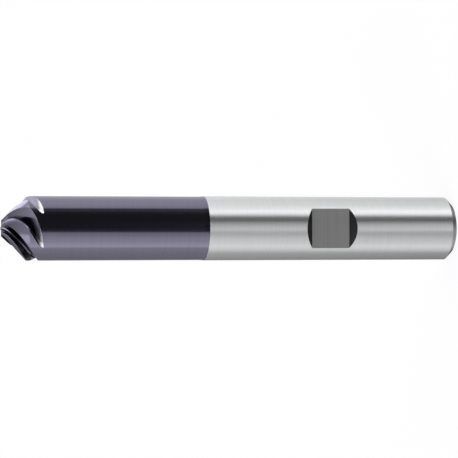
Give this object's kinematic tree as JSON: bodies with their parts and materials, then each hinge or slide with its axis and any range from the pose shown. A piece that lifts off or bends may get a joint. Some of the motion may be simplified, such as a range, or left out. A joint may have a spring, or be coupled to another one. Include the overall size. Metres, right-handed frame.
{
  "type": "pointed chamfering end mill",
  "caption": "Solid carbide rotary cutter: a ground round shank with a side-lock flat, a coated neck and a pointed head with right-hand spiral flutes.",
  "frame": {"origin": "centre of the shank's end face, on which the tool stands", "axes": "+Z along the tool's axis, from the shank's end face to the cutting tip; -Y is the outward normal of the side-lock flat; +X completes the right-handed frame"},
  "size_m": [0.01, 0.01, 0.072],
  "materials": {
    "carbide": "fine ground carbide, bright on the shank, with a dark violet-grey hard coating on the neck and the cutting point"
  },
  "bodies": {
    "root": {"end_mill": "carbide"}
  },
  "joints": []
}
